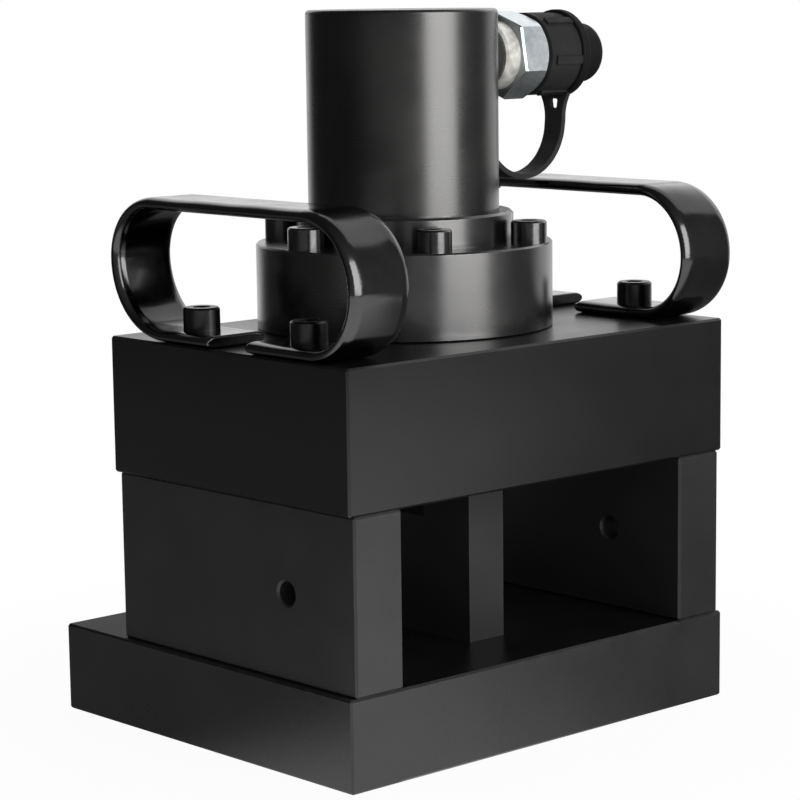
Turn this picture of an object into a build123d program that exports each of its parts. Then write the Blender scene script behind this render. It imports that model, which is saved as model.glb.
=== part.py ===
from build123d import *
from collections import namedtuple
from math import sqrt
import os

# Hydraulic angle steel punching machine: a box frame of thick plates with a die post in its window,
# a spring-return cylinder on top that drives the punch, two strip handles and a quick coupler.
# Millimetres, +Z up, front face towards -Y, origin under the middle of the base plate.

# Frame plates, their front faces flush
base_width = 186.0
base_depth = 160.5
base_thickness = 32.5
side_inset = 2.5
side_depth = 127.75
side_thickness = 21.3
window_height = 61.5
block_inset = 0.5
block_depth = 128.5
block_height = 49.5
plate_edge = 0.8

# Fits
thread_clearance = 0.05
running_clearance = 0.05
seal_clearance = 0.02
screw_clearance = 0.5
seat_clearance = 0.3

# Socket head screws: thread and head diameters and socket size across flats; heads are as high as
# the thread is wide, and sockets half as deep
m5_thread = 5.0
m5_head = 8.5
m5_socket = 4.0
m8_thread = 8.0
m8_head = 13.0
m8_socket = 6.0
m12_thread = 12.0
m12_head = 18.0
m12_socket = 10.0
head_edge = 0.7
counterbore_depth_margin = 1.0

# Tapped hole in each side plate, measured from the front face and from the bed
side_hole_radius = 4.25
side_hole_chamfer = 0.75
side_hole_setback = 35.5
side_hole_height = 30.5

# Long screws that tie bed, side plates and top block together
tie_spacing = 93.0
tie_thread_depth = 25.0

# Ram axis, from the front face
axis_setback = 72.85

# Die post and die
post_thickness = 17.0
post_length = 83.4
throat = 6.5
die_length = 36.0
die_height = 12.0
die_land = 5.0
die_hole_clearance = 0.2
die_relief = 0.8
die_screw_spacing = 26.0
die_screw_grip = 12.0
post_screw_spacing = 52.0
post_screw_grip = 20.0
slug_drop_radius = 6.6
post_slug_radius = 6.2

# Punch, its nut and the bore they travel in
stroke = 12.0
punch_radius = 5.5
punch_recess = 2.0
punch_head_radius = 9.0
punch_head_height = 6.0
stripper_thickness = 8.0
stripper_clearance = 0.5
stroke_margin = 2.0
nut_radius = 18.0
nut_flats = 32.0
nut_lip = 5.0
nut_gap = 1.0
nut_bore_clearance = 2.0

# Cylinder flange and barrel
flange_radius = 54.0
flange_height = 31.0
flange_edge = 0.6
collar_radius = 39.5
collar_height = 11.0
collar_edge = 0.8
spigot_radius = 29.0
spigot_height = 3.0
barrel_radius = 34.7
barrel_edge = 1.5
barrel_thread_radius = 32.5
bore_radius = 25.0
chamber_height = 42.5
flange_screw_radius = 47.0
flange_screw_count = 6
flange_screw_grip = 16.0

# Rod, its guide and wiper
rod_radius = 14.0
rod_thread_radius = 12.0
rod_spigot_radius = 9.0
rod_spigot_length = 12.0
rod_hole_clearance = 0.25
bush_wall = 4.0
bush_length = 14.0
wiper_wall = 5.0
wiper_height = 5.0
guide_land = 1.5

# Piston, its rings and the return spring
piston_land = 2.5
ring_gap = 0.1
seal_section = 4.0
seal_height = 4.2
backup_height = 1.6
wear_ring_section = 2.5
wear_ring_height = 6.0
piston_edge = 0.5
spring_wire = 4.5
spring_coils = 5.5

# Handles: flat strip bent into a loop with its ends apart
handle_inset = 12.3
handle_width = 26.0
handle_strip = 4.3
handle_near_reach = 66.3
handle_far_reach = 65.5
handle_left_height = 50.5
handle_right_height = 49.8
handle_near_bend = 22.0
handle_far_bend = 26.0
handle_gap = 20.0
handle_round = 4.5
handle_end_edge = 0.8
handle_setback = 62.0
handle_screw_spacing = 58.0
handle_screw_grip = 14.0
quarter_turn = 90.0

# Coupler on the barrel's side
port_radius = 7.5
port_wall = 4.5
port_drill_radius = 3.0
port_drill_overrun = 2.0
feed_drill_radius = 2.2
port_depth = 12.0
coupler_drop = 17.75
washer_radius = 12.0
washer_thickness = 2.0
spot_face_clearance = 0.4
neck_radius = 9.0
neck_length = 6.7
round_collar_radius = 12.6
round_collar_thickness = 6.9
round_collar_edge = 0.8
hex_flats = 28.6
hex_length = 13.6
hex_turn = 20.0
hex_chamfer_height = 2.8
hex_chamfer_length = 3.25
hex_bevel_height = 0.46
hex_bevel_length = 0.8
plug_radius = 12.0
plug_length = 16.2
plug_edge = 1.0
lock_groove_width = 3.0
lock_groove_depth = 1.0

# Self-closing valve in the coupler
valve_bore_radius = 5.0
valve_depth = 14.0
mouth_radius = 3.8
mouth_length = 2.0
mouth_clearance = 0.4
poppet_head_length = 5.0
poppet_projection = 1.2
poppet_spring_wire = 0.9
poppet_spring_coils = 5.0
poppet_spring_gap = 0.5

# Dust cap and its strap
cap_radius = 15.3
cap_body_length = 15.8
cap_ring_radius = 16.5
cap_ring_width = 3.8
cap_nose_radius = 11.2
cap_nose_length = 14.1
cap_nose_round = 4.0
cap_ring_round = 0.8
cap_rib_count = 6
cap_rib_width = 3.0
cap_rib_height = 0.8
cap_rib_start = 2.2
cap_rib_turn = 7.5
strap_width = 9.2
strap_thickness = 2.0
strap_drop = 25.0
strap_root_width = 16.0
strap_root_height = 6.0
strap_slot_length = 4.6
strap_slot_width = 2.2
strap_slot_drop = 2.0
strap_ring_wall = 2.4
strap_ring_width = 5.6
strap_ring_clearance = 0.1

# Levels and planes that follow from these
ScrewSize = namedtuple("ScrewSize", "thread head socket")
m5 = ScrewSize(m5_thread, m5_head, m5_socket)
m8 = ScrewSize(m8_thread, m8_head, m8_socket)
m12 = ScrewSize(m12_thread, m12_head, m12_socket)
front_y = -base_depth / 2
block_width = base_width - 2 * block_inset
handle_x = block_width / 2 - handle_inset
side_x = (base_width - side_thickness) / 2 - side_inset
side_y = front_y + side_depth / 2
block_y = front_y + block_depth / 2
axis_y = front_y + axis_setback
handle_y = front_y + handle_setback
block_bottom = base_thickness + window_height
block_top = block_bottom + block_height
die_top = block_bottom - throat
die_bottom = die_top - die_height
stripper_top = block_bottom + stripper_thickness
nut_bottom = stripper_top + stroke + stroke_margin
punch_head_bottom = nut_bottom + nut_lip
rod_end = punch_head_bottom + punch_head_height
spigot_bottom = block_top - spigot_height
nut_top = spigot_bottom - nut_gap
punch_tip = block_bottom + punch_recess
ram_bore_radius = nut_radius + nut_bore_clearance
wiper_top = spigot_bottom + wiper_height
bush_bottom = wiper_top + guide_land
spring_seat = bush_bottom + bush_length
flange_top = block_top + flange_height
collar_top = flange_top + collar_height
chamber_top = collar_top + chamber_height
coupler_z = chamber_top + port_wall + port_radius
barrel_top = coupler_z + coupler_drop
seal_groove = seal_height + backup_height + 2 * ring_gap
wear_groove = wear_ring_height + 2 * ring_gap
piston_top = chamber_top - seat_clearance
piston_bottom = piston_top - 3 * piston_land - seal_groove - wear_groove
spring_length = piston_bottom - spring_seat
spring_radius = (bore_radius + rod_radius) / 2

spot_face_x = sqrt(barrel_radius**2 - washer_radius**2)
neck_start = spot_face_x + washer_thickness
neck_end = neck_start + neck_length
hex_start = neck_end + round_collar_thickness
hex_end = hex_start + hex_length
plug_end = hex_end + plug_length
valve_seat = plug_end - mouth_length
valve_end = valve_seat - valve_depth
cap_start = hex_end + seat_clearance
cap_floor = plug_end + poppet_projection + seat_clearance
cap_ring_start = cap_start + cap_body_length
cap_ring_end = cap_ring_start + cap_ring_width
cap_end = cap_ring_end + cap_nose_length

ram_plane = Plane(origin=(0, axis_y, 0), x_dir=(1, 0, 0), z_dir=(0, -1, 0))
ram_axis = Axis((0, axis_y, 0), (0, 0, 1))
coupler_plane = Plane(origin=(0, axis_y, coupler_z), x_dir=(1, 0, 0), z_dir=(0, -1, 0))
coupler_axis = Axis((0, axis_y, coupler_z), (1, 0, 0))

tie_points = [
    (sign * side_x, side_y + step * tie_spacing / 2) for sign in (-1, 1) for step in (-1, 1)
]
post_screw_points = [(0, axis_y + step * post_screw_spacing / 2) for step in (-1, 1)]
die_screw_points = [(0, axis_y + step * die_screw_spacing / 2) for step in (-1, 1)]
handle_points = [
    (sign * handle_x, handle_y + step * handle_screw_spacing / 2)
    for sign in (-1, 1)
    for step in (-1, 1)
]


def across_coupler(x):
    """Plane square to the coupler's axis at x, with world Y and Z as its own axes."""
    return Plane(origin=(x, axis_y, coupler_z), x_dir=(0, 1, 0), z_dir=(1, 0, 0))


def flange_circle():
    """Places of the flange screws, the first one towards +X."""
    return PolarLocations(flange_screw_radius, flange_screw_count)


def socket_screws(points, seat, up, size, length):
    """Socket head screws along Z, with their heads on the seat's upper (1) or lower (-1) side."""
    head_end = seat + up * size.thread
    with BuildPart() as screws:
        with BuildSketch(Plane.XY.offset(seat)):
            with Locations(*points):
                Circle(size.head / 2)
        extrude(amount=up * size.thread)
        chamfer(screws.edges().group_by(Axis.Z)[-1 if up > 0 else 0], length=head_edge)
        with BuildSketch(Plane.XY.offset(seat)):
            with Locations(*points):
                Circle(size.thread / 2)
        extrude(amount=-up * length)
        with BuildSketch(Plane.XY.offset(head_end)):
            with Locations(*points):
                RegularPolygon(size.socket / 2, 6, major_radius=False)
        extrude(amount=-up * size.thread / 2, mode=Mode.SUBTRACT)
    return screws


# Base plate with counterbored holes from below and the drop for slugs
tie_seat = m12.thread + counterbore_depth_margin
post_screw_seat = m8.thread + counterbore_depth_margin
with BuildPart() as base_plate:
    with BuildSketch(Plane.XY):
        Rectangle(base_width, base_depth)
    extrude(amount=base_thickness)
    chamfer(base_plate.edges(), length=plate_edge)
    with BuildSketch(Plane.XY):
        with Locations(*tie_points):
            Circle(m12.thread / 2 + screw_clearance)
        with Locations(*post_screw_points):
            Circle(m8.thread / 2 + screw_clearance)
        with Locations((0, axis_y)):
            Circle(slug_drop_radius)
    extrude(amount=base_thickness, mode=Mode.SUBTRACT)
    with BuildSketch(Plane.XY):
        with Locations(*tie_points):
            Circle(m12.head / 2 + screw_clearance)
    extrude(amount=tie_seat, mode=Mode.SUBTRACT)
    with BuildSketch(Plane.XY):
        with Locations(*post_screw_points):
            Circle(m8.head / 2 + screw_clearance)
    extrude(amount=post_screw_seat, mode=Mode.SUBTRACT)


def side_plate(sign):
    """One wall of the window, with its tapped hole along X."""
    with BuildPart() as plate:
        with BuildSketch(Plane.XY.offset(base_thickness)):
            with Locations((sign * side_x, side_y)):
                Rectangle(side_thickness, side_depth)
        extrude(amount=window_height)
        chamfer(plate.edges(), length=plate_edge)
        with BuildSketch(Plane.XY.offset(base_thickness)):
            with Locations(*tie_points):
                Circle(m12.thread / 2 + screw_clearance)
        extrude(amount=window_height, mode=Mode.SUBTRACT)
        with BuildSketch(Plane.YZ.offset(sign * side_x)):
            with Locations((front_y + side_hole_setback, base_thickness + side_hole_height)):
                Circle(side_hole_radius)
        extrude(amount=side_thickness, both=True, mode=Mode.SUBTRACT)
        mouths = plate.faces().filter_by(Axis.X).edges().filter_by(GeomType.CIRCLE)
        chamfer(mouths, length=side_hole_chamfer)
    return plate


left_side_plate = side_plate(-1)
right_side_plate = side_plate(1)

# Top block with the ram's bore, the stripper hole, the spigot's recess and tapped holes
with BuildPart() as top_block:
    with BuildSketch(Plane.XY.offset(block_bottom)):
        with Locations((0, block_y)):
            Rectangle(block_width, block_depth)
    extrude(amount=block_height)
    chamfer(top_block.edges(), length=plate_edge)
    with BuildSketch(Plane.XY.offset(block_bottom)):
        with Locations((0, axis_y)):
            Circle(punch_radius + stripper_clearance)
    extrude(amount=block_height, mode=Mode.SUBTRACT)
    with BuildSketch(Plane.XY.offset(stripper_top)):
        with Locations((0, axis_y)):
            Circle(ram_bore_radius)
    extrude(amount=block_top - stripper_top, mode=Mode.SUBTRACT)
    with BuildSketch(Plane.XY.offset(spigot_bottom)):
        with Locations((0, axis_y)):
            Circle(spigot_radius + running_clearance)
    extrude(amount=spigot_height, mode=Mode.SUBTRACT)
    with BuildSketch(Plane.XY.offset(block_top)):
        with Locations((0, axis_y)):
            with flange_circle():
                Circle(m8.thread / 2 + thread_clearance)
    extrude(amount=-flange_screw_grip - seat_clearance, mode=Mode.SUBTRACT)
    with BuildSketch(Plane.XY.offset(block_top)):
        with Locations(*handle_points):
            Circle(m8.thread / 2 + thread_clearance)
    extrude(amount=-handle_screw_grip - seat_clearance, mode=Mode.SUBTRACT)
    with BuildSketch(Plane.XY.offset(block_bottom)):
        with Locations(*tie_points):
            Circle(m12.thread / 2 + thread_clearance)
    extrude(amount=tie_thread_depth + seat_clearance, mode=Mode.SUBTRACT)

# Die post: upright plate whose top is notched for the die
post_back = axis_y + post_length / 2
post_front = axis_y - post_length / 2
notch_half = die_length / 2 + running_clearance
with BuildPart() as die_post:
    with BuildSketch(Plane.YZ.offset(-post_thickness / 2)):
        with BuildLine():
            Polyline(
                (post_front, base_thickness),
                (post_back, base_thickness),
                (post_back, die_top),
                (axis_y + notch_half, die_top),
                (axis_y + notch_half, die_bottom),
                (axis_y - notch_half, die_bottom),
                (axis_y - notch_half, die_top),
                (post_front, die_top),
                close=True,
            )
        make_face()
    extrude(amount=post_thickness)
    with BuildSketch(Plane.XY.offset(base_thickness)):
        with Locations((0, axis_y)):
            Circle(post_slug_radius)
    extrude(amount=die_bottom - base_thickness, mode=Mode.SUBTRACT)
    with BuildSketch(Plane.XY.offset(base_thickness)):
        with Locations(*post_screw_points):
            Circle(m8.thread / 2 + thread_clearance)
    extrude(amount=post_screw_grip + seat_clearance, mode=Mode.SUBTRACT)
    with BuildSketch(Plane.XY.offset(die_bottom)):
        with Locations(*die_screw_points):
            Circle(m5.thread / 2 + thread_clearance)
    extrude(amount=-die_screw_grip - seat_clearance, mode=Mode.SUBTRACT)

# Die: hole with a short land, wider below, between two counterbored screws
die_hole_radius = punch_radius + die_hole_clearance
die_screw_seat = die_top - m5.thread - counterbore_depth_margin
with BuildPart() as die:
    with BuildSketch(Plane.XY.offset(die_bottom)):
        with Locations((0, axis_y)):
            Rectangle(post_thickness, die_length)
    extrude(amount=die_height)
    with BuildSketch(Plane.XY.offset(die_bottom)):
        with Locations((0, axis_y)):
            Circle(die_hole_radius)
        with Locations(*die_screw_points):
            Circle(m5.thread / 2 + screw_clearance)
    extrude(amount=die_height, mode=Mode.SUBTRACT)
    with BuildSketch(Plane.XY.offset(die_bottom)):
        with Locations((0, axis_y)):
            Circle(die_hole_radius + die_relief)
    extrude(amount=die_height - die_land, mode=Mode.SUBTRACT)
    with BuildSketch(Plane.XY.offset(die_screw_seat)):
        with Locations(*die_screw_points):
            Circle(m5.head / 2 + screw_clearance / 2)
    extrude(amount=die_top - die_screw_seat, mode=Mode.SUBTRACT)

# Screws of the frame, the post and the die
frame_tie_screws = socket_screws(
    tie_points, tie_seat, -1, m12, block_bottom + tie_thread_depth - tie_seat
)
post_screws = socket_screws(
    post_screw_points, post_screw_seat, -1, m8, base_thickness + post_screw_grip - post_screw_seat
)
die_screws = socket_screws(
    die_screw_points, die_screw_seat, 1, m5, die_screw_seat - die_bottom + die_screw_grip
)


def handle(x, height):
    """Strip loop in a YZ plane, open under its middle, with a screw hole in each foot."""
    low = block_top + handle_strip / 2
    rise = height - handle_strip
    near = handle_y - handle_near_reach + handle_strip / 2
    far = handle_y + handle_far_reach - handle_strip / 2
    half_gap = handle_gap / 2
    round_x = handle_width / 2 - handle_round
    with BuildPart() as loop:
        with BuildLine(Plane.YZ.offset(x)) as path:
            foot = Line((handle_y + half_gap, low), (far - handle_far_bend, low))
            bend = JernArc(foot @ 1, foot % 1, handle_far_bend, quarter_turn)
            bend = JernArc(bend @ 1, bend % 1, rise - handle_far_bend, quarter_turn)
            grip = Line(bend @ 1, (near + rise - handle_near_bend, low + rise))
            bend = JernArc(grip @ 1, grip % 1, rise - handle_near_bend, quarter_turn)
            bend = JernArc(bend @ 1, bend % 1, handle_near_bend, quarter_turn)
            Line(bend @ 1, (handle_y - half_gap, low))
        with BuildSketch(Plane((x, handle_y + half_gap, low), x_dir=(1, 0, 0), z_dir=(0, 1, 0))):
            Rectangle(2 * round_x, handle_strip)
            with Locations((-round_x, 0), (round_x, 0)):
                Ellipse(handle_round, handle_strip / 2)
        sweep(path=path.wire())
        fillet(loop.faces().filter_by(Axis.Y).edges(), radius=handle_end_edge)
        with BuildSketch(Plane.XY.offset(block_top)):
            with Locations(*handle_points):
                Circle(m8.thread / 2 + screw_clearance)
        extrude(amount=handle_strip, mode=Mode.SUBTRACT)
    return loop


left_handle = handle(-handle_x, handle_left_height)
right_handle = handle(handle_x, handle_right_height)
handle_screws = socket_screws(
    handle_points, block_top + handle_strip, 1, m8, handle_strip + handle_screw_grip
)

# Cylinder flange with collar, spigot, bush seat and wiper seat
bush_radius = rod_radius + bush_wall
wiper_radius = rod_radius + wiper_wall
with BuildPart() as cylinder_flange:
    with BuildSketch(ram_plane):
        with BuildLine():
            Polyline(
                (wiper_radius + running_clearance, spigot_bottom),
                (spigot_radius, spigot_bottom),
                (spigot_radius, block_top),
                (flange_radius - flange_edge, block_top),
                (flange_radius, block_top + flange_edge),
                (flange_radius, flange_top - flange_edge),
                (flange_radius - flange_edge, flange_top),
                (collar_radius, flange_top),
                (collar_radius, collar_top - collar_edge),
                (collar_radius - collar_edge, collar_top),
                (barrel_thread_radius + thread_clearance, collar_top),
                (barrel_thread_radius + thread_clearance, spring_seat),
                (bush_radius + running_clearance, spring_seat),
                (bush_radius + running_clearance, bush_bottom),
                (rod_radius + rod_hole_clearance, bush_bottom),
                (rod_radius + rod_hole_clearance, wiper_top),
                (wiper_radius + running_clearance, wiper_top),
                close=True,
            )
        make_face()
    revolve(axis=ram_axis)
    with BuildSketch(Plane.XY.offset(block_top)):
        with Locations((0, axis_y)):
            with flange_circle():
                Circle(m8.thread / 2 + screw_clearance)
    extrude(amount=flange_height, mode=Mode.SUBTRACT)

# Flange screws stand on a circle about the ram's axis
with flange_circle() as places:
    flange_points = [(p.X, p.Y + axis_y) for p in (place.position for place in places.locations)]
flange_screws = socket_screws(
    flange_points, flange_top, 1, m8, flange_height + flange_screw_grip
)

# Barrel: closed at the top, screwed into the flange's collar, with the oil port in its end
skirt_bottom = spring_seat + seat_clearance
with BuildPart() as cylinder_barrel:
    with BuildSketch(ram_plane):
        with BuildLine():
            Polyline(
                (0, chamber_top),
                (bore_radius, chamber_top),
                (bore_radius, skirt_bottom),
                (barrel_thread_radius, skirt_bottom),
                (barrel_thread_radius, collar_top),
                (barrel_radius, collar_top),
                (barrel_radius, barrel_top),
                (0, barrel_top),
                close=True,
            )
        make_face()
    revolve(axis=ram_axis)
    fillet(cylinder_barrel.edges().group_by(Axis.Z)[-1], radius=barrel_edge)
    with BuildSketch(across_coupler(spot_face_x)):
        Circle(washer_radius + spot_face_clearance)
    extrude(amount=barrel_radius, mode=Mode.SUBTRACT)
    with BuildSketch(across_coupler(spot_face_x)):
        Circle(port_radius)
    extrude(amount=-port_depth - seat_clearance, mode=Mode.SUBTRACT)
    with BuildSketch(across_coupler(spot_face_x)):
        Circle(port_drill_radius)
    extrude(amount=-spot_face_x - feed_drill_radius - port_drill_overrun, mode=Mode.SUBTRACT)
    with BuildSketch(Plane.XY.offset(chamber_top)):
        with Locations((0, axis_y)):
            Circle(feed_drill_radius)
    extrude(amount=coupler_z - chamber_top, mode=Mode.SUBTRACT)

# Guide bush and wiper round the rod
with BuildPart() as rod_guide_bush:
    with BuildSketch(Plane.XY.offset(bush_bottom)):
        with Locations((0, axis_y)):
            Circle(bush_radius)
            Circle(rod_radius + running_clearance, mode=Mode.SUBTRACT)
    extrude(amount=bush_length)
with BuildPart() as rod_wiper:
    with BuildSketch(Plane.XY.offset(spigot_bottom)):
        with Locations((0, axis_y)):
            Circle(wiper_radius)
            Circle(rod_radius + running_clearance, mode=Mode.SUBTRACT)
    extrude(amount=wiper_height)

# Piston with a wear ring groove below and a seal groove above
wear_groove_bottom = piston_bottom + piston_land
wear_groove_top = wear_groove_bottom + wear_groove
seal_groove_bottom = wear_groove_top + piston_land
seal_groove_top = seal_groove_bottom + seal_groove
piston_radius = bore_radius - running_clearance
wear_groove_radius = bore_radius - wear_ring_section - running_clearance
seal_groove_radius = bore_radius - seal_section - running_clearance
spigot_hole_radius = rod_spigot_radius + thread_clearance
spigot_hole_top = piston_bottom + rod_spigot_length + seat_clearance
with BuildPart() as piston:
    with BuildSketch(ram_plane):
        with BuildLine():
            Polyline(
                (spigot_hole_radius, piston_bottom),
                (piston_radius, piston_bottom),
                (piston_radius, wear_groove_bottom),
                (wear_groove_radius, wear_groove_bottom),
                (wear_groove_radius, wear_groove_top),
                (piston_radius, wear_groove_top),
                (piston_radius, seal_groove_bottom),
                (seal_groove_radius, seal_groove_bottom),
                (seal_groove_radius, seal_groove_top),
                (piston_radius, seal_groove_top),
                (piston_radius, piston_top - piston_edge),
                (piston_radius - piston_edge, piston_top),
                (0, piston_top),
                (0, spigot_hole_top),
                (spigot_hole_radius, spigot_hole_top),
                close=True,
            )
        make_face()
    revolve(axis=ram_axis)


def piston_ring(bottom, height, section):
    """Ring that fills a piston groove out to the bore."""
    with BuildPart() as ring:
        with BuildSketch(Plane.XY.offset(bottom)):
            with Locations((0, axis_y)):
                Circle(bore_radius - seal_clearance)
                Circle(bore_radius - section, mode=Mode.SUBTRACT)
        extrude(amount=height)
    return ring


backup_bottom = seal_groove_bottom + ring_gap
piston_wear_ring = piston_ring(wear_groove_bottom + ring_gap, wear_ring_height, wear_ring_section)
piston_backup_ring = piston_ring(backup_bottom, backup_height, seal_section)
piston_seal = piston_ring(backup_bottom + backup_height, seal_height, seal_section)

# Rod: spigot in the piston, thread for the punch nut below
with BuildPart() as piston_rod:
    with BuildSketch(ram_plane):
        with BuildLine():
            Polyline(
                (0, rod_end),
                (rod_thread_radius, rod_end),
                (rod_thread_radius, nut_top),
                (rod_radius, nut_top),
                (rod_radius, piston_bottom),
                (rod_spigot_radius, piston_bottom),
                (rod_spigot_radius, piston_bottom + rod_spigot_length),
                (0, piston_bottom + rod_spigot_length),
                close=True,
            )
        make_face()
    revolve(axis=ram_axis)

# Return spring between the flange's web and the piston, its ends ground flat
with BuildPart() as return_spring:
    with BuildLine():
        coil = Helix(
            pitch=spring_length / spring_coils,
            height=spring_length,
            radius=spring_radius,
            center=(0, axis_y, spring_seat),
        )
    with BuildSketch(Plane(origin=coil @ 0, z_dir=coil % 0)):
        Circle(spring_wire / 2)
    sweep()
    with BuildSketch(Plane.XY.offset(spring_seat)):
        with Locations((0, axis_y)):
            Circle(bore_radius)
    extrude(amount=spring_length, mode=Mode.INTERSECT)

# Punch nut with two spanner flats, and the headed punch that it clamps
with BuildPart() as punch_nut:
    with BuildSketch(ram_plane):
        with BuildLine():
            Polyline(
                (punch_radius + screw_clearance, nut_bottom),
                (nut_radius, nut_bottom),
                (nut_radius, nut_top),
                (rod_thread_radius + thread_clearance, nut_top),
                (rod_thread_radius + thread_clearance, punch_head_bottom),
                (punch_radius + screw_clearance, punch_head_bottom),
                close=True,
            )
        make_face()
    revolve(axis=ram_axis)
    with BuildSketch(Plane.XY.offset(nut_bottom)):
        with Locations((0, axis_y)):
            Rectangle(nut_flats, 2 * nut_radius)
    extrude(amount=nut_top - nut_bottom, mode=Mode.INTERSECT)
with BuildPart() as punch:
    with BuildSketch(Plane.XY.offset(punch_tip)):
        with Locations((0, axis_y)):
            Circle(punch_radius)
    extrude(amount=rod_end - punch_tip)
    with BuildSketch(Plane.XY.offset(punch_head_bottom)):
        with Locations((0, axis_y)):
            Circle(punch_head_radius)
    extrude(amount=punch_head_height)

# Bonded washer on the barrel's spot face
with BuildPart() as coupler_washer:
    with BuildSketch(across_coupler(spot_face_x)):
        Circle(washer_radius - running_clearance)
        Circle(port_radius + running_clearance, mode=Mode.SUBTRACT)
    extrude(amount=washer_thickness)

# Coupler half: hex with chamfered corners, then thread, neck, round collar and plug about its axis
hex_corner = hex_flats / sqrt(3)
thread_end = spot_face_x - port_depth
groove_middle = hex_end + plug_length / 2
groove_radius = plug_radius - lock_groove_depth
with BuildPart() as coupler_body:
    with BuildSketch(across_coupler(hex_start)):
        RegularPolygon(hex_flats / 2, 6, major_radius=False, rotation=hex_turn)
    extrude(amount=hex_length)
    back = coupler_body.faces().sort_by(Axis.X)[0]
    chamfer(back.edges(), length=hex_bevel_height, length2=hex_bevel_length, reference=back)
    with BuildSketch(coupler_plane):
        with BuildLine():
            Polyline(
                (hex_start, 0),
                (hex_start, hex_corner),
                (hex_end - hex_chamfer_length, hex_corner),
                (hex_end, hex_corner - hex_chamfer_height),
                (hex_end, 0),
                close=True,
            )
        make_face()
    revolve(axis=coupler_axis, mode=Mode.INTERSECT)
    with BuildSketch(coupler_plane):
        with BuildLine():
            Polyline(
                (thread_end, 0),
                (thread_end, port_radius - thread_clearance),
                (neck_start, port_radius - thread_clearance),
                (neck_start, neck_radius),
                (neck_end, neck_radius),
                (neck_end, round_collar_radius - round_collar_edge),
                (neck_end + round_collar_edge, round_collar_radius),
                (hex_start, round_collar_radius),
                (hex_start, plug_radius),
                (groove_middle - lock_groove_width / 2, plug_radius),
                (groove_middle - lock_groove_width / 2, groove_radius),
                (groove_middle + lock_groove_width / 2, groove_radius),
                (groove_middle + lock_groove_width / 2, plug_radius),
                (plug_end - plug_edge, plug_radius),
                (plug_end, plug_radius - plug_edge),
                (plug_end, 0),
                close=True,
            )
        make_face()
    revolve(axis=coupler_axis)
    with BuildSketch(coupler_plane):
        with BuildLine():
            Polyline(
                (thread_end, 0),
                (thread_end, port_drill_radius),
                (valve_end, port_drill_radius),
                (valve_end, valve_bore_radius),
                (valve_seat, valve_bore_radius),
                (valve_seat, mouth_radius),
                (plug_end, mouth_radius),
                (plug_end, 0),
                close=True,
            )
        make_face()
    revolve(axis=coupler_axis, mode=Mode.SUBTRACT)

# Valve poppet against its seat, with its nose out of the plug, and the spring behind it
poppet_back = valve_seat - poppet_head_length
with BuildPart() as coupler_poppet:
    with BuildSketch(coupler_plane):
        with BuildLine():
            Polyline(
                (poppet_back, 0),
                (poppet_back, valve_bore_radius - running_clearance),
                (valve_seat, valve_bore_radius - running_clearance),
                (valve_seat, mouth_radius - mouth_clearance),
                (plug_end + poppet_projection, mouth_radius - mouth_clearance),
                (plug_end + poppet_projection, 0),
                close=True,
            )
        make_face()
    revolve(axis=coupler_axis)
poppet_spring_length = poppet_back - valve_end
poppet_spring_radius = valve_bore_radius - poppet_spring_gap - poppet_spring_wire / 2
with BuildPart() as poppet_spring:
    with BuildLine():
        poppet_coil = Helix(
            pitch=poppet_spring_length / poppet_spring_coils,
            height=poppet_spring_length,
            radius=poppet_spring_radius,
            center=(valve_end, axis_y, coupler_z),
            direction=(1, 0, 0),
        )
    with BuildSketch(Plane(origin=poppet_coil @ 0, z_dir=poppet_coil % 0)):
        Circle(poppet_spring_wire / 2)
    sweep()
    with BuildSketch(across_coupler(valve_end)):
        Circle(valve_bore_radius)
    extrude(amount=poppet_spring_length, mode=Mode.INTERSECT)

# Dust cap: cup over the plug with ribs, a ring and a rounded nose
rib_length = cap_ring_start - cap_start - cap_rib_start
with BuildPart() as dust_cap:
    with BuildSketch(coupler_plane):
        with BuildLine():
            Polyline(
                (cap_start, plug_radius + running_clearance),
                (cap_start, cap_radius),
                (cap_ring_start, cap_radius),
                (cap_ring_start, cap_ring_radius),
                (cap_ring_end, cap_ring_radius),
                (cap_ring_end, cap_nose_radius),
                (cap_end, cap_nose_radius),
                (cap_end, 0),
                (cap_floor, 0),
                (cap_floor, plug_radius + running_clearance),
                close=True,
            )
        make_face()
    revolve(axis=coupler_axis)
    fillet(dust_cap.edges().group_by(Axis.X)[-1], radius=cap_nose_round)
    fillet(
        dust_cap.edges().filter_by(GeomType.CIRCLE).filter_by(lambda e: e.radius > cap_radius + cap_rib_height),
        radius=cap_ring_round,
    )
    with BuildSketch(across_coupler(cap_start + cap_rib_start)):
        with PolarLocations(cap_radius, cap_rib_count, start_angle=cap_rib_turn):
            Rectangle(2 * cap_rib_height, cap_rib_width)
    extrude(amount=rib_length)

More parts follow.
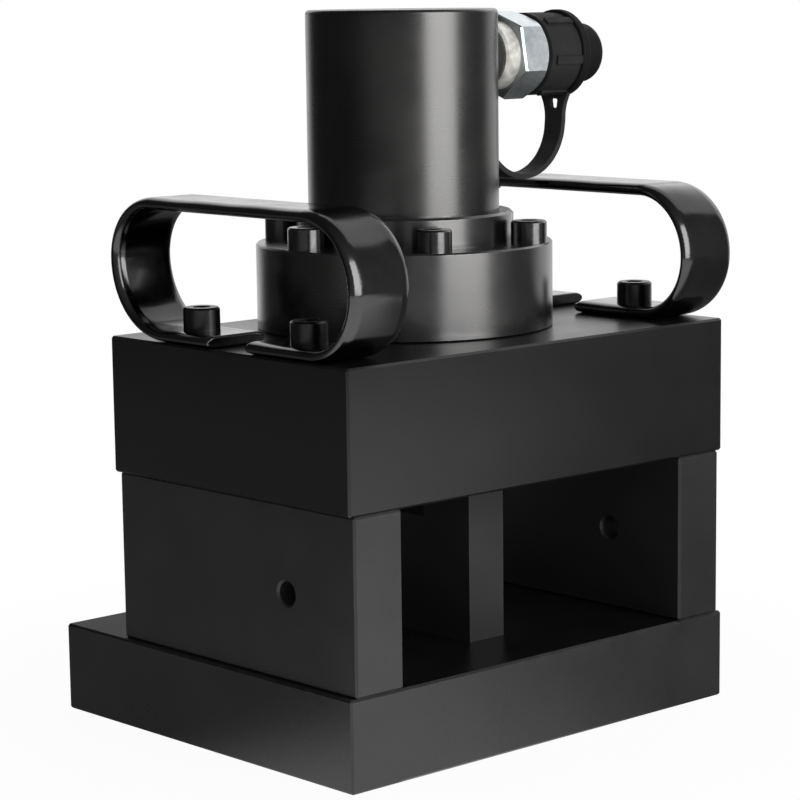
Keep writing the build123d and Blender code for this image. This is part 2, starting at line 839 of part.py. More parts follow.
# Strap: flat loop from a ring on the neck to a flared, slotted root under the cap's ring
strap_ring_inner = neck_radius + strap_ring_clearance
strap_ring_outer = strap_ring_inner + strap_ring_wall
strap_ring_x = (neck_start + neck_end) / 2
strap_cap_x = cap_ring_start + strap_thickness / 2
strap_bend = (strap_cap_x - strap_ring_x) / 2
strap_middle_x = (strap_cap_x + strap_ring_x) / 2
half_strap = strap_thickness / 2
root_bottom = -cap_ring_radius - strap_root_height
slot_middle = -cap_ring_radius - strap_slot_drop
with BuildPart() as cap_strap:
    with BuildSketch(coupler_plane):
        with BuildLine():
            Line((strap_ring_x - half_strap, -strap_ring_inner), (strap_ring_x - half_strap, -strap_drop))
            ThreePointArc(
                (strap_ring_x - half_strap, -strap_drop),
                (strap_middle_x, -strap_drop - strap_bend - half_strap),
                (strap_cap_x + half_strap, -strap_drop),
            )
            Line((strap_cap_x + half_strap, -strap_drop), (strap_cap_x + half_strap, -cap_ring_radius))
            Line((strap_cap_x + half_strap, -cap_ring_radius), (strap_cap_x - half_strap, -cap_ring_radius))
            Line((strap_cap_x - half_strap, -cap_ring_radius), (strap_cap_x - half_strap, -strap_drop))
            ThreePointArc(
                (strap_cap_x - half_strap, -strap_drop),
                (strap_middle_x, -strap_drop - strap_bend + half_strap),
                (strap_ring_x + half_strap, -strap_drop),
            )
            Line((strap_ring_x + half_strap, -strap_drop), (strap_ring_x + half_strap, -strap_ring_inner))
            Line((strap_ring_x + half_strap, -strap_ring_inner), (strap_ring_x - half_strap, -strap_ring_inner))
        make_face()
    extrude(amount=strap_width / 2, both=True)
    with BuildSketch(across_coupler(strap_cap_x - half_strap)):
        with BuildLine():
            Polyline(
                (-strap_width / 2, root_bottom),
                (strap_width / 2, root_bottom),
                (strap_root_width / 2, -plug_radius),
                (-strap_root_width / 2, -plug_radius),
                close=True,
            )
        make_face()
        with Locations((0, slot_middle)):
            SlotOverall(strap_slot_length, strap_slot_width, rotation=90, mode=Mode.SUBTRACT)
    extrude(amount=strap_thickness)
    with BuildSketch(across_coupler(strap_cap_x - half_strap)):
        with Locations((0, slot_middle)):
            SlotOverall(strap_slot_length, strap_slot_width, rotation=90)
    extrude(amount=strap_thickness, mode=Mode.SUBTRACT)
    with BuildSketch(across_coupler(strap_cap_x - half_strap)):
        Circle(cap_ring_radius + seat_clearance)
    extrude(amount=strap_thickness, mode=Mode.SUBTRACT)
    with BuildSketch(across_coupler(strap_ring_x - strap_ring_width / 2)):
        Circle(strap_ring_outer)
    extrude(amount=strap_ring_width)
    with BuildSketch(across_coupler(strap_ring_x - strap_ring_width / 2)):
        Circle(strap_ring_inner)
    extrude(amount=strap_ring_width, mode=Mode.SUBTRACT)

pieces = {
    "base_plate": base_plate,
    "left_side_plate": left_side_plate,
    "right_side_plate": right_side_plate,
    "top_block": top_block,
    "die_post": die_post,
    "die": die,
    "frame_tie_screws": frame_tie_screws,
    "post_screws": post_screws,
    "die_screws": die_screws,
    "left_handle": left_handle,
    "right_handle": right_handle,
    "handle_screws": handle_screws,
    "cylinder_flange": cylinder_flange,
    "flange_screws": flange_screws,
    "cylinder_barrel": cylinder_barrel,
    "rod_guide_bush": rod_guide_bush,
    "rod_wiper": rod_wiper,
    "piston": piston,
    "piston_wear_ring": piston_wear_ring,
    "piston_backup_ring": piston_backup_ring,
    "piston_seal": piston_seal,
    "piston_rod": piston_rod,
    "return_spring": return_spring,
    "punch_nut": punch_nut,
    "punch": punch,
    "coupler_washer": coupler_washer,
    "coupler_body": coupler_body,
    "coupler_poppet": coupler_poppet,
    "poppet_spring": poppet_spring,
    "dust_cap": dust_cap,
    "cap_strap": cap_strap,
}

os.makedirs("parts", exist_ok=True)
for name, piece in pieces.items():
    piece.part.label = name
    export_step(piece.part, f"parts/{name}.step")
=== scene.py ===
import math

import bmesh
import bpy
from mathutils import Matrix, Vector


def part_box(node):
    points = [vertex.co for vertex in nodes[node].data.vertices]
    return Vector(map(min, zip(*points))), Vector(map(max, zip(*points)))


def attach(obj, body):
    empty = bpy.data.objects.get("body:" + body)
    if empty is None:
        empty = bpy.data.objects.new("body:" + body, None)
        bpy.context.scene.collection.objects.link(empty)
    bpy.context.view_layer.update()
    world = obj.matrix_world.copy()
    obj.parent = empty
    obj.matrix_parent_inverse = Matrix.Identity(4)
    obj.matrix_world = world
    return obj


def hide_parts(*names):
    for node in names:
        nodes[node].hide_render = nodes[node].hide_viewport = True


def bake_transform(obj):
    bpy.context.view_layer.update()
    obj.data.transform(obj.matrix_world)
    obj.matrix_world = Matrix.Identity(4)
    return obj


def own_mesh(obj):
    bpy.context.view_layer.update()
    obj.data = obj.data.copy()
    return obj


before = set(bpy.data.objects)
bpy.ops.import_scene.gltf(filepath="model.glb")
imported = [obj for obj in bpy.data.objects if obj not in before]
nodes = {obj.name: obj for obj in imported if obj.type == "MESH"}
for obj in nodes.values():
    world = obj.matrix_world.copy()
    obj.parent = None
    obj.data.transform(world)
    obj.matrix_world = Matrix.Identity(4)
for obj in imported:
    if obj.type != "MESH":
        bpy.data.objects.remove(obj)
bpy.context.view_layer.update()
scene = bpy.context.scene
scene.view_settings.view_transform = "Standard"

# A millimetre and a thousandth of it, in metres
MM = 1e-3
UM = 1e-6

# Places on the part that finishes and added pieces go by
AXIS_Y = -7.4 * MM
COUPLER_Z = 240.0 * MM
HEX_START = 48.16 * MM
CAP_RING_START = 77.7 * MM
BED_EDGE = 72.0 * MM
BED_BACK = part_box("left_side_plate")[1].y
BED_FADE = 3.0 * MM

# Camera at the photograph's angle, with image measures in pixels
IMAGE = 800.0
FOCAL = 2729.155
CENTRE_X, CENTRE_Y = 416.624, 443.377
AZIMUTH, ELEVATION, ROLL = math.radians(42.696), math.radians(9.556), math.radians(-0.677)
DISTANCE = 1.003509
TARGET = Vector((0.0, -12.8 * MM, 100.0 * MM))
SENSOR = 36.0
CLIP_NEAR, CLIP_FAR = 0.05, 50.0


def make_camera():
    look = Vector((
        math.sin(AZIMUTH) * math.cos(ELEVATION),
        math.cos(AZIMUTH) * math.cos(ELEVATION),
        -math.sin(ELEVATION),
    ))
    side = Vector((math.cos(AZIMUTH), -math.sin(AZIMUTH), 0.0))
    top = side.cross(look)
    right = math.cos(ROLL) * side + math.sin(ROLL) * top
    up = math.cos(ROLL) * top - math.sin(ROLL) * side
    data = bpy.data.cameras.new("camera")
    data.sensor_width = SENSOR
    data.lens = SENSOR * FOCAL / IMAGE
    data.shift_x = 0.5 - CENTRE_X / IMAGE
    data.shift_y = CENTRE_Y / IMAGE - 0.5
    data.clip_start, data.clip_end = CLIP_NEAR, CLIP_FAR
    camera = bpy.data.objects.new("camera", data)
    scene.collection.objects.link(camera)
    place = Matrix((right, up, -look)).transposed().to_4x4()
    place.translation = TARGET - look * DISTANCE
    camera.matrix_world = place
    scene.camera = camera


make_camera()


class Tree:
    """Short calls for building one node tree."""

    # Places of the colour sockets on a Mix node
    MIX_A, MIX_B, MIX_RESULT = 6, 7, 2

    def __init__(self, tree):
        self.tree = tree

    def feed(self, socket, value):
        if isinstance(value, bpy.types.NodeSocket):
            self.tree.links.new(value, socket)
        else:
            socket.default_value = value

    def node(self, kind, inputs=(), **settings):
        made = self.tree.nodes.new(kind)
        for name, value in settings.items():
            setattr(made, name, value)
        for name, value in dict(inputs).items():
            self.feed(made.inputs[name], value)
        return made

    def math(self, operation, a, b=0.0, clamp=False):
        made = self.node("ShaderNodeMath", {0: a, 1: b}, operation=operation, use_clamp=clamp)
        return made.outputs[0]

    def plus(self, a, b, share):
        """a with a share of b added."""
        return self.math("ADD", a, self.math("MULTIPLY", b, share))

    def span(self, value, low, high, to_low=0.0, to_high=1.0, smooth=False):
        """Maps low and high to to_low and to_high, and stays between them."""
        made = self.node(
            "ShaderNodeMapRange",
            {"Value": value, "From Min": low, "From Max": high, "To Min": to_low, "To Max": to_high},
            interpolation_type="SMOOTHSTEP" if smooth else "LINEAR",
        )
        return made.outputs[0]

    def mix(self, share, a, b):
        made = self.node(
            "ShaderNodeMix", {"Factor": share, self.MIX_A: a, self.MIX_B: b}, data_type="RGBA"
        )
        return made.outputs[self.MIX_RESULT]

    def dot(self, a, b):
        made = self.node("ShaderNodeVectorMath", {0: a, 1: b}, operation="DOT_PRODUCT")
        return made.outputs["Value"]


class Finish(Tree):
    """A procedural material on a Principled shader. Patterns are placed in the part's own frame."""

    # Agreement of the true and the rounded normal on flats and on edges
    FLAT, EDGE = 0.995, 0.9
    BEVEL_SAMPLES = 6

    def __init__(self, name, **inputs):
        self.material = bpy.data.materials.new(name)
        self.material.use_nodes = True
        super().__init__(self.material.node_tree)
        self.shader = self.tree.nodes["Principled BSDF"]
        self.place = self.node("ShaderNodeTexCoord").outputs["Object"]
        for socket, value in inputs.items():
            self.shader.inputs[socket.replace("_", " ")].default_value = value

    def along(self, axis):
        return self.node("ShaderNodeSeparateXYZ", {"Vector": self.place}).outputs[axis]

    def normal(self):
        return self.node("ShaderNodeNewGeometry").outputs["Normal"]

    def noise(self, scale, detail=4.0, rough=0.55, where=None):
        made = self.node("ShaderNodeTexNoise", {
            "Vector": where or self.place, "Scale": scale, "Detail": detail, "Roughness": rough,
        })
        return made.outputs[0]

    def lines(self, scale, axis, detail=2.0):
        """Noise that changes along one axis only, as turning or grinding leaves it."""
        made = self.node(
            "ShaderNodeTexNoise", {"W": self.along(axis), "Scale": scale, "Detail": detail},
            noise_dimensions="1D",
        )
        return made.outputs[0]

    def edges(self, radius):
        """1 on edges, 0 on flats."""
        rounded = self.node("ShaderNodeBevel", {"Radius": radius}, samples=self.BEVEL_SAMPLES).outputs[0]
        return self.span(self.dot(rounded, self.normal()), self.FLAT, self.EDGE)

    def rubbed(self, radius, patches, low, high):
        """1 on the edges where patches is high."""
        return self.math("MULTIPLY", self.edges(radius), self.span(patches, low, high))

    def colour(self, value):
        self.feed(self.shader.inputs["Base Color"], value)

    def rough(self, value):
        self.feed(self.shader.inputs["Roughness"], value)

    def bump(self, *heights):
        """Pairs of a noise and the height in metres that it stands for."""
        normal = None
        for value, depth in heights:
            made = self.node("ShaderNodeBump", {"Height": value, "Distance": depth, "Strength": 1.0})
            if normal is not None:
                self.feed(made.inputs["Normal"], normal)
            normal = made.outputs[0]
        self.feed(self.shader.inputs["Normal"], normal)


# Most of a noise lies between these
MOST = (0.3, 0.7)
# Rubbed edges are paler than the face by this factor
RUBBED_TONE = 2.2
COOL, WARM, DUSTY = (1.0, 1.0, 1.02), (1.02, 1.0, 0.98), (1.0, 0.99, 0.97)
UP, OUT, INWARD = (0.0, 0.0, 1.0), (1.0, 0.0, 0.0), (-1.0, 0.0, 0.0)


def grey(value, tint=(1.0, 1.0, 1.0)):
    return (value * tint[0], value * tint[1], value * tint[2], 1.0)


def shade(colour, factor=1.0):
    return tuple(min(1.0, c * factor) for c in colour) + (1.0,)


def plate_finish(name, tone, painted_shade_level_tone, roughness, level_roughness, gloss=0.5, bed_roughness=None):
    """Blackened steel plate: satin, a little cloudy, rubbed paler on its edges. Level faces have a finish of
    their own, and so has the bed between the side plates. Where the level faces' tone is darker than the rest,
    it is painted shade."""
    dark, pale = 0.85, 1.15
    f = Finish(name, Specular_IOR_Level=gloss)
    cloud = f.noise(28.0, detail=5.0, rough=0.6)
    grain = f.noise(1500.0, detail=3.0)
    level = f.span(f.math("ABSOLUTE", f.dot(f.normal(), UP)), 0.3, 0.7)
    # Level faces take their own tone; where it is darker than the other faces' tone, it is painted shade.
    darker = f.mix(level, grey(tone * dark, COOL), grey(painted_shade_level_tone * dark))
    paler = f.mix(level, grey(tone * pale, WARM), grey(painted_shade_level_tone * pale))
    body = f.mix(f.span(cloud, 0.35, 0.65), darker, paler)
    rubbed = f.rubbed(0.9 * MM, f.noise(160.0, detail=5.0, rough=0.65), 0.45, 0.62)
    f.colour(f.mix(rubbed, body, grey(tone * RUBBED_TONE)))
    level_middle = level_roughness
    if bed_roughness is not None:
        outside = f.math(
            "MAXIMUM",
            f.span(f.math("ABSOLUTE", f.along("X")), BED_EDGE - BED_FADE, BED_EDGE),
            f.span(f.along("Y"), BED_BACK - BED_FADE, BED_BACK),
        )
        level_middle = f.span(outside, 0.0, 1.0, bed_roughness, level_roughness)
    middle = f.span(level, 0.0, 1.0, roughness, level_middle)
    uneven = f.span(f.plus(cloud, grain, 0.4), 0.45, 0.95, -0.05, 0.05)
    f.rough(f.math("ADD", middle, uneven))
    f.bump((grain, 2.0 * UM), (f.noise(210.0, detail=3.0), 4.0 * UM))
    return f.material


def cylinder_finish(name, tone, roughness):
    """Blackened turned steel with fine rings of tool marks round the axis."""
    f = Finish(name, Metallic=1.0)
    cloud = f.noise(24.0, detail=5.0, rough=0.6)
    marks = f.lines(1600.0, "Z", detail=3.0)
    body = f.mix(f.span(cloud, *MOST), grey(tone * 0.9), grey(tone * 1.1, WARM))
    rubbed = f.rubbed(0.8 * MM, f.noise(190.0, detail=5.0, rough=0.65), 0.4, 0.6)
    f.colour(f.mix(rubbed, body, grey(tone * RUBBED_TONE)))
    f.rough(f.span(f.plus(cloud, marks, 0.12), 0.38, 0.74, roughness - 0.05, roughness + 0.05))
    f.bump((marks, 0.012 * UM), (f.noise(1800.0, detail=2.0), 0.4 * UM))
    return f.material


def strip_finish(name):
    """Glossy black coat on hand-bent strip, whose faces are a little uneven."""
    f = Finish(name, Metallic=1.0)
    f.colour(f.mix(f.span(f.noise(60.0), *MOST), grey(0.085), grey(0.105, COOL)))
    f.rough(f.span(f.noise(220.0), *MOST, 0.13, 0.19))
    shift = (0.0, 0.05, 0.02)
    moved = f.node("ShaderNodeVectorMath", {0: f.place, 1: shift}, operation="ADD").outputs[0]
    f.bump((f.noise(34.0, detail=0.0, where=moved), 2.0 * MM), (f.noise(260.0, detail=2.0), 3.0 * UM))
    return f.material


def oxide_finish(name, tone, roughness):
    """Black oxide on screws, rubbed on the rims."""
    f = Finish(name, Metallic=1.0)
    body = f.mix(f.noise(240.0), grey(tone * 0.75), grey(tone * 1.25))
    rubbed = f.rubbed(0.5 * MM, f.noise(500.0), 0.4, 0.6)
    f.colour(f.mix(rubbed, body, grey(tone * RUBBED_TONE)))
    f.rough(f.span(f.noise(700.0, detail=3.0), *MOST, roughness - 0.04, roughness + 0.04))
    f.bump((f.noise(2500.0, detail=2.0), 2.0 * UM))
    return f.material


def zinc_finish(name):
    """Clear zinc plate with a cool bloom, with a painted highlight on its edges and painted shade on the hex's
    rear face. The turned collar behind the hex is paler and warmer."""
    f = Finish(name)
    coarse = f.math("MULTIPLY", f.noise(110.0, detail=5.0), 0.5)
    cloud = f.plus(coarse, f.noise(640.0, detail=3.0), 0.5)
    patch = f.span(f.noise(420.0, detail=3.0, rough=0.5), 0.35, 0.65)
    collar = f.span(f.along("X"), HEX_START - 0.3 * MM, HEX_START - 0.1 * MM, 1.0, 0.0)
    # Painted shade: the hex's rear face, facing inward, is darkened.
    hex_back_painted_shade = f.span(f.dot(f.normal(), INWARD), 0.9, 0.97)
    cool = f.mix(f.span(cloud, 0.36, 0.64), shade((0.7, 0.78, 0.82)), shade((0.93, 0.96, 0.97)))
    warm = f.mix(patch, shade((0.7, 0.68, 0.62)), shade((0.98, 0.97, 0.92)))
    body = f.mix(collar, f.mix(hex_back_painted_shade, cool, shade((0.34, 0.37, 0.38))), warm)
    # Painted highlight: a pale colour on all edges.
    f.colour(f.mix(f.edges(0.25 * MM), body, grey(0.96)))
    f.feed(f.shader.inputs["Metallic"], f.span(collar, 0.0, 1.0, 1.0, 0.5))
    f.rough(f.span(f.plus(cloud, patch, 0.2), 0.4, 0.9, 0.36, 0.46))
    f.bump((f.lines(2400.0, "X"), 0.1 * UM), (f.noise(800.0, detail=3.0), 2.0 * UM))
    return f.material


def rubber_finish(name, tone, painted_shade_nose_tone=None):
    """Moulded black rubber: matt, cloudy, and with a darker tone on the cap's ring and nose, which is painted
    shade.
    """
    f = Finish(name, Specular_IOR_Level=0.16)
    cloud = f.noise(130.0, detail=5.0)
    body = f.mix(f.span(cloud, 0.35, 0.7), grey(tone * 0.85), grey(tone * 1.2, DUSTY))
    if painted_shade_nose_tone is not None:
        # Painted shade: the cap's ring and nose take the darker tone.
        nose = f.span(f.along("X"), CAP_RING_START - 0.4 * MM, CAP_RING_START + 0.4 * MM)
        body = f.mix(nose, body, f.mix(cloud, grey(painted_shade_nose_tone * 0.8), grey(painted_shade_nose_tone * 1.2)))
    f.colour(body)
    f.rough(f.span(f.noise(420.0), *MOST, 0.54, 0.7))
    f.bump((f.noise(1900.0, detail=3.0), 6.0 * UM), (f.noise(330.0, detail=3.0), 8.0 * UM))
    return f.material


def metal_finish(name, colour, roughness, mark_scale=1500.0):
    """Bright machined metal with tool marks round the upright axis."""
    f = Finish(name, Metallic=1.0)
    cloud = f.noise(90.0, detail=5.0)
    f.colour(f.mix(cloud, shade(colour, 0.88), shade(colour, 1.1)))
    marks = f.lines(mark_scale, "Z")
    f.rough(f.span(f.math("ADD", cloud, marks), 0.6, 1.4, roughness * 0.8, roughness * 1.2))
    f.bump((marks, 1.5 * UM))
    return f.material


def plastic_finish(name, colour):
    """Plain machined plastic."""
    f = Finish(name, Specular_IOR_Level=0.4)
    f.colour(f.mix(f.noise(150.0), shade(colour, 0.9), shade(colour, 1.1)))
    f.rough(f.span(f.noise(500.0, detail=3.0), *MOST, 0.35, 0.5))
    f.bump((f.noise(1200.0, detail=2.0), 3.0 * UM))
    return f.material


block_black = plate_finish(
    "block_black", tone=0.006, painted_shade_level_tone=0.006, roughness=0.22, level_roughness=0.3, gloss=0.6
)
side_black = plate_finish(
    "side_black", tone=0.03, painted_shade_level_tone=0.03, roughness=0.42, level_roughness=0.42
)
# A darker copy of the plate finish on the right side plate: painted shade for its shaded inner wall.
inner_black_painted_shade = plate_finish(
    "inner_black_painted_shade", tone=0.015, painted_shade_level_tone=0.015, roughness=0.42, level_roughness=0.42
)
# A darker copy of the plate finish on the die post: painted shade for the post inside the window.
post_black_painted_shade = plate_finish(
    "post_black_painted_shade", tone=0.022, painted_shade_level_tone=0.022, roughness=0.42, level_roughness=0.42
)
# The base plate's level faces are darker than its other faces: painted shade on the bed and top.
base_black = plate_finish(
    "base_black", tone=0.02, painted_shade_level_tone=0.004, roughness=0.3, level_roughness=0.6, gloss=0.6,
    bed_roughness=0.3,
)
barrel_black = cylinder_finish("barrel_black", tone=0.106, roughness=0.28)
flange_black = cylinder_finish("flange_black", tone=0.125, roughness=0.25)
die_black = cylinder_finish("die_black", tone=0.03, roughness=0.4)
strip_black = strip_finish("strip_black")
oxide = oxide_finish("screw_oxide", tone=0.06, roughness=0.33)
bright_oxide = oxide_finish("screw_oxide_bright", tone=0.11, roughness=0.22)
zinc = zinc_finish("zinc_plate")
rubber = rubber_finish("cap_rubber", tone=0.022, painted_shade_nose_tone=0.007)
# A paler copy of the cap rubber on the strap: painted fill light on its shaded face.
strap_rubber_painted_fill = rubber_finish("strap_rubber_painted_fill", tone=0.033)
seal = rubber_finish("seal_rubber", tone=0.015)
tool_steel = metal_finish("tool_steel", (0.42, 0.42, 0.43), roughness=0.3)
turned = metal_finish("turned_steel", (0.56, 0.56, 0.57), roughness=0.28)
chrome = metal_finish("rod_chrome", (0.8, 0.81, 0.83), roughness=0.1, mark_scale=900.0)
bronze = metal_finish("bush_bronze", (0.62, 0.4, 0.2), roughness=0.3)
spring_steel = metal_finish("spring_steel", (0.3, 0.3, 0.31), roughness=0.35)
guide_plastic = plastic_finish("ring_plastic", (0.16, 0.1, 0.06))

finishes = {
    "base_plate": base_black,
    "left_side_plate": side_black,
    "right_side_plate": inner_black_painted_shade,
    "die_post": post_black_painted_shade,
    "top_block": block_black,
    "left_handle": strip_black,
    "right_handle": strip_black,
    "handle_screws": oxide,
    "flange_screws": bright_oxide,
    "frame_tie_screws": oxide,
    "post_screws": oxide,
    "die_screws": oxide,
    "cylinder_flange": flange_black,
    "cylinder_barrel": barrel_black,
    "coupler_body": zinc,
    "coupler_washer": zinc,
    "coupler_poppet": turned,
    "poppet_spring": spring_steel,
    "dust_cap": rubber,
    "cap_strap": strap_rubber_painted_fill,
    "die": die_black,
    "punch": tool_steel,
    "punch_nut": tool_steel,
    "piston": turned,
    "piston_rod": chrome,
    "piston_seal": seal,
    "piston_backup_ring": guide_plastic,
    "piston_wear_ring": guide_plastic,
    "rod_guide_bush": bronze,
    "rod_wiper": seal,
    "return_spring": spring_steel,
}
for name, finish in finishes.items():
    mesh = nodes[name].data
    mesh.materials.clear()
    mesh.materials.append(finish)


def add_piece(name, build, finish):
    """A new object from a bmesh that build fills."""
    made = bmesh.new()
    build(made)
    bmesh.ops.recalc_face_normals(made, faces=made.faces[:])
    mesh = bpy.data.meshes.new(name)
    made.to_mesh(mesh)
    made.free()
    mesh.shade_smooth()
    mesh.materials.append(finish)
    piece = bpy.data.objects.new(name, mesh)
    scene.collection.objects.link(piece)
    return piece


def sweep(made, rings, closed=False):
    """Joins rings of points, all of the same count, into a tube that is closed on itself or capped."""
    rows = [[made.verts.new(point) for point in ring] for ring in rings]
    following = rows[1:] + rows[:1] if closed else rows[1:]
    for first, second in zip(rows, following):
        count = len(first)
        for i in range(count):
            j = (i + 1) % count
            made.faces.new((first[i], first[j], second[j], second[i]))
    if not closed:
        made.faces.new(rows[0])
        made.faces.new(rows[-1][::-1])


# Springs: round wire with closed ends
SPRING_STEPS = 40
WIRE_STEPS = 16
CLOSED_TURNS = 0.75
RETURN_SPRING_FOOT = 161.0 * MM
POPPET_SPRING_FOOT = 61.96 * MM


def coil(made, start, along, across, radius, wire, length, turns):
    """A helix whose end turns lie close, from start along one unit vector."""
    third = along.cross(across)
    open_rise = (length - wire - 2 * CLOSED_TURNS * wire) / (turns - 2 * CLOSED_TURNS)
    rings = []
    for step in range(int(turns * SPRING_STEPS) + 1):
        turn = step / SPRING_STEPS
        low = min(turn, CLOSED_TURNS)
        high = max(turn - (turns - CLOSED_TURNS), 0.0)
        rise = (low + high) * wire + (turn - low - high) * open_rise
        angle = 2 * math.pi * turn
        out = math.cos(angle) * across + math.sin(angle) * third
        middle = start + along * (wire / 2 + rise) + out * radius
        rings.append([
            middle + wire / 2 * (math.cos(a) * out + math.sin(a) * along)
            for a in (2 * math.pi * k / WIRE_STEPS for k in range(WIRE_STEPS))
        ])
    sweep(made, rings)


def make_spring(name, node, along, anchor, turns, wire):
    """A coil in place of a node, as long as the node's box along one unit vector and as wide as it across, held
    on the frame.
    """
    low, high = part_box(node)
    size = high - low
    length = abs(size.dot(along))
    across = Vector((0.0, 1.0, 0.0))
    radius = (size.y - wire) / 2
    piece = add_piece(
        name, lambda made: coil(made, Vector(anchor), along, across, radius, wire, length, turns), spring_steel
    )
    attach(piece, "frame")
    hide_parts(node)
    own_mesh(piece)


make_spring(
    "return_spring_coil", "return_spring", along=Vector(UP),
    anchor=(0.0, AXIS_Y, RETURN_SPRING_FOOT), turns=5.5, wire=4.5 * MM,
)
make_spring(
    "poppet_spring_coil", "poppet_spring", along=Vector(OUT),
    anchor=(POPPET_SPRING_FOOT, AXIS_Y, COUPLER_Z), turns=4.5, wire=1.0 * MM,
)


# Cap strap: a flat moulded band from a ring round the coupler's neck to the cap's ring
RING_X = 37.91 * MM
CAP_X = 78.86 * MM
RING_INNER, RING_OUTER, RING_WIDTH = 9.1 * MM, 11.5 * MM, 5.6 * MM
RING_EDGE = 0.5 * MM
RING_STEPS, CORNER_STEPS = 64, 4
STRAP_WIDTH, STRAP_THICKNESS = 9.2 * MM, 2.0 * MM
STRAP_DROP = 25.0 * MM
# Depths of the band's first points under the coupler's axis, from inside the ring
NECK_DEPTHS = (RING_OUTER - 0.6 * MM, 16.0 * MM, 21.0 * MM)
BEND_STEPS = 12
BEND_NARROWING = 0.1
ROOT_RADIUS = 16.2 * MM
ROOT_BOTTOM = 22.5 * MM
# Rows of the root: share of the way up to the cap, and width
ROOT_ROWS = ((0.3, 10.0 * MM), (0.55, 11.0 * MM), (0.85, 13.4 * MM), (1.0, 15.4 * MM))
# Points across the band, in half widths; the slot is between the middle two
BAND_SHARES = (-1.0, -0.86, -0.32, 0.32, 0.86, 1.0)
SLOT_COLUMN = 2
SLOT_ROWS_FROM_END = (3, 2)
FACE_CREASE, RIM_CREASE = 0.75, 0.3
SMOOTH_LEVELS = 3


def strap_ring(made):
    half = RING_WIDTH / 2
    profile = []
    for x, r, first in (
        (half, RING_OUTER, 0.0), (-half, RING_OUTER, 90.0), (-half, RING_INNER, 180.0), (half, RING_INNER, 270.0)
    ):
        cx = x - math.copysign(RING_EDGE, x)
        cr = r - RING_EDGE if r == RING_OUTER else r + RING_EDGE
        for k in range(CORNER_STEPS + 1):
            a = math.radians(first + 90.0 * k / CORNER_STEPS)
            profile.append((cx + RING_EDGE * math.cos(a), cr + RING_EDGE * math.sin(a)))
    rings = []
    for step in range(RING_STEPS):
        a = 2 * math.pi * step / RING_STEPS
        rings.append([
            (RING_X + x, AXIS_Y + r * math.sin(a), COUPLER_Z + r * math.cos(a)) for x, r in profile
        ])
    sweep(made, rings, closed=True)


def strap_band(made):
    """One sheet down from the ring, round the bend and up to the cap, with a slot in its root."""
    bend = (CAP_X - RING_X) / 2
    middle = (CAP_X + RING_X) / 2
    path = [(RING_X, -depth) for depth in NECK_DEPTHS]
    for k in range(BEND_STEPS + 1):
        a = math.pi * k / BEND_STEPS
        path.append((middle - bend * math.cos(a), -STRAP_DROP - bend * math.sin(a)))
    path.append((CAP_X, -ROOT_BOTTOM))
    rows = []
    for x, z in path:
        low = min(1.0, max(0.0, (-z - STRAP_DROP) / bend))
        half = STRAP_WIDTH / 2 * (1.0 - BEND_NARROWING * low)
        rows.append([(x, AXIS_Y + half * s, COUPLER_Z + z) for s in BAND_SHARES])
    for share, width in ROOT_ROWS:
        row = []
        for s in BAND_SHARES:
            y = width / 2 * s
            top = -math.sqrt(ROOT_RADIUS ** 2 - y ** 2)
            row.append((CAP_X, AXIS_Y + y, COUPLER_Z - ROOT_BOTTOM + (top + ROOT_BOTTOM) * share))
        rows.append(row)
    grid = [[made.verts.new(p) for p in row] for row in rows]
    strips = len(grid) - 1
    for i, (first, second) in enumerate(zip(grid, grid[1:])):
        for j in range(len(BAND_SHARES) - 1):
            slot = j == SLOT_COLUMN and strips - i in SLOT_ROWS_FROM_END
            if not slot:
                made.faces.new((first[j], first[j + 1], second[j + 1], second[j]))


def make_strap():
    band = add_piece("strap_sheet", strap_band, strap_rubber_painted_fill)
    solid = band.modifiers.new("thickness", "SOLIDIFY")
    solid.thickness = STRAP_THICKNESS
    solid.offset = 0.0
    solid.edge_crease_inner = solid.edge_crease_outer = FACE_CREASE
    solid.edge_crease_rim = RIM_CREASE
    smooth = band.modifiers.new("smooth", "SUBSURF")
    smooth.levels = smooth.render_levels = SMOOTH_LEVELS
    view = bpy.context.evaluated_depsgraph_get()
    shaped = bpy.data.meshes.new_from_object(band.evaluated_get(view))
    piece = add_piece("cap_strap_moulded", lambda made: (strap_ring(made), made.from_mesh(shaped)), strap_rubber_painted_fill)
    bpy.data.objects.remove(band)
    bpy.data.meshes.remove(shaped)
    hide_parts("cap_strap")
    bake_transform(piece)


make_strap()


# Pale floor: white to look at, with a faint shadow under the machine. Reflections see a lit pool in front of
# the machine, which ends in a slanted, bowed rim, on a dim floor
FLOOR_RADIUS, FLOOR_STEPS = 1.0, 96
FLOOR_DROP = 0.1 * MM
PAPER_DARK, PAPER_PALE, FIBRE_SCALE = 0.78, 0.82, 60.0
SHADOW_FADE, SHADOW_WHITE = (0.1, 0.3), 0.96
POOL_FAR = (0.84, 0.96)
POOL_FRONT = (-0.03, 0.07)
RIM_SLANT, RIM_BOW, RIM_FADE = 0.3, 1.1, (-0.09, 0.05)
FLOOR_DIM, FLOOR_LIT = 0.14, 1.0


def reflected(t, rays):
    """1 for reflected and transmitted rays, in a tree's light path outputs."""
    return t.math("MAXIMUM", rays["Is Glossy Ray"], rays["Is Transmission Ray"])


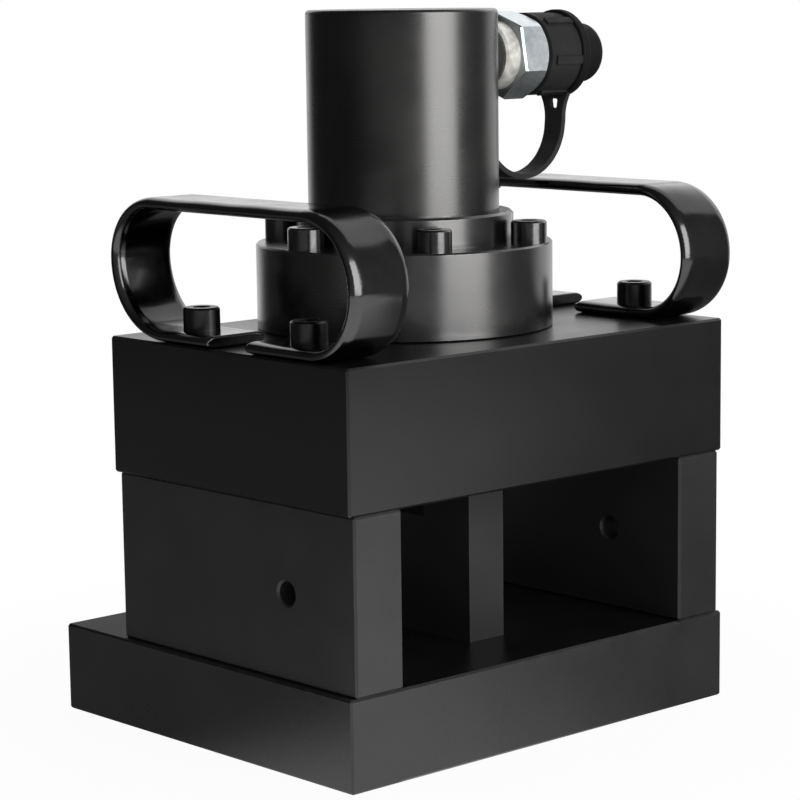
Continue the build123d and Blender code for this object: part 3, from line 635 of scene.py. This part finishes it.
def make_floor():
    def disc(made):
        bmesh.ops.create_circle(made, cap_ends=True, radius=FLOOR_RADIUS, segments=FLOOR_STEPS)

    material = bpy.data.materials.new("floor_paper")
    material.use_nodes = True
    t = Tree(material.node_tree)
    t.tree.nodes.clear()
    place = t.node("ShaderNodeTexCoord").outputs["Object"]
    fibre = t.node("ShaderNodeTexNoise", {"Vector": place, "Scale": FIBRE_SCALE, "Detail": 4.0}).outputs[0]
    paper = t.node("ShaderNodeBsdfDiffuse", {"Color": t.mix(fibre, grey(PAPER_DARK), grey(PAPER_PALE))})
    rays = t.node("ShaderNodeLightPath").outputs
    away = t.node("ShaderNodeVectorMath", {0: place}, operation="LENGTH").outputs["Value"]
    bare = t.span(away, *SHADOW_FADE, SHADOW_WHITE, 1.0, smooth=True)
    near = t.span(away, *POOL_FAR, 1.0, 0.0, smooth=True)
    ahead = t.dot(place, (0.0, -1.0, 0.0))
    front = t.span(ahead, *POOL_FRONT, smooth=True)
    slant = t.math("MULTIPLY", ahead, RIM_SLANT)
    rim = t.plus(slant, t.math("MULTIPLY", ahead, ahead), RIM_BOW)
    beyond = t.math("SUBTRACT", t.dot(place, OUT), rim)
    lit = t.span(beyond, *RIM_FADE, 1.0, 0.0, smooth=True)
    pool = t.math("MULTIPLY", near, t.math("MULTIPLY", front, lit))
    strength = t.math("MAXIMUM", rays["Is Camera Ray"], t.span(pool, 0.0, 1.0, FLOOR_DIM, FLOOR_LIT))
    white = t.node("ShaderNodeEmission", {"Color": grey(1.0), "Strength": strength})
    seen = t.math("MULTIPLY", rays["Is Camera Ray"], bare)
    share = t.math("ADD", seen, reflected(t, rays), clamp=True)
    shader = t.node("ShaderNodeMixShader", {0: share, 1: paper.outputs[0], 2: white.outputs[0]})
    t.node("ShaderNodeOutputMaterial", {"Surface": shader.outputs[0]})
    floor = add_piece("floor", disc, material)
    floor.location.z = -FLOOR_DROP


make_floor()


# White backdrop to look at. Reflections see it behind the machine up to a height, and a dim room elsewhere
BACK, BACK_SIDES, BACK_TOP = (0.819, 0.574, 0.0), (0.55, 0.8), (0.4, 0.75)
FRONT, ROOM_SIDES, ROOM_LEVELS = (0.05, -0.999, 0.0), (-0.4, 0.9), (0.05, 0.22)
SOFT_LEVELS = (0.32, 0.55)


def make_world():
    world = bpy.data.worlds.new("studio")
    world.use_nodes = True
    t = Tree(world.node_tree)
    t.tree.nodes.clear()
    way = t.node("ShaderNodeTexCoord").outputs["Generated"]
    low = t.span(t.dot(way, UP), *BACK_TOP, 1.0, 0.0, smooth=True)
    behind = t.math("MULTIPLY", low, t.span(t.dot(way, BACK), *BACK_SIDES, smooth=True))
    room = t.span(t.dot(way, FRONT), *ROOM_SIDES, *ROOM_LEVELS, smooth=True)
    rays = t.node("ShaderNodeLightPath").outputs
    shine = reflected(t, rays)
    mirrored = t.math("MULTIPLY", shine, t.math("MAXIMUM", behind, room))
    soft = t.span(behind, 0.0, 1.0, *SOFT_LEVELS)
    lit = t.plus(mirrored, t.math("SUBTRACT", 1.0, shine), soft)
    strength = t.math("MAXIMUM", rays["Is Camera Ray"], lit)
    backdrop = t.node("ShaderNodeBackground", {"Color": grey(1.0), "Strength": strength})
    t.node("ShaderNodeOutputWorld", {"Surface": backdrop.outputs[0]})
    scene.world = world


make_world()


def area_light(name, place, target, width, height, radiance):
    data = bpy.data.lights.new(name, "AREA")
    data.shape = "RECTANGLE"
    data.size, data.size_y = width, height
    data.energy = radiance * math.pi * width * height
    light = bpy.data.objects.new(name, data)
    scene.collection.objects.link(light)
    light.location = place
    light.rotation_euler = (Vector(target) - Vector(place)).to_track_quat("-Z", "Y").to_euler()
    light.visible_camera = False


area_light("key", place=(0.07, -0.9, 0.45), target=(0.03, 0.0, 0.25), width=0.66, height=0.8, radiance=4.5)
area_light("top", place=(0.9, 0.15, 0.95), target=(0.0, 0.0, 0.15), width=1.1, height=0.85, radiance=0.7)
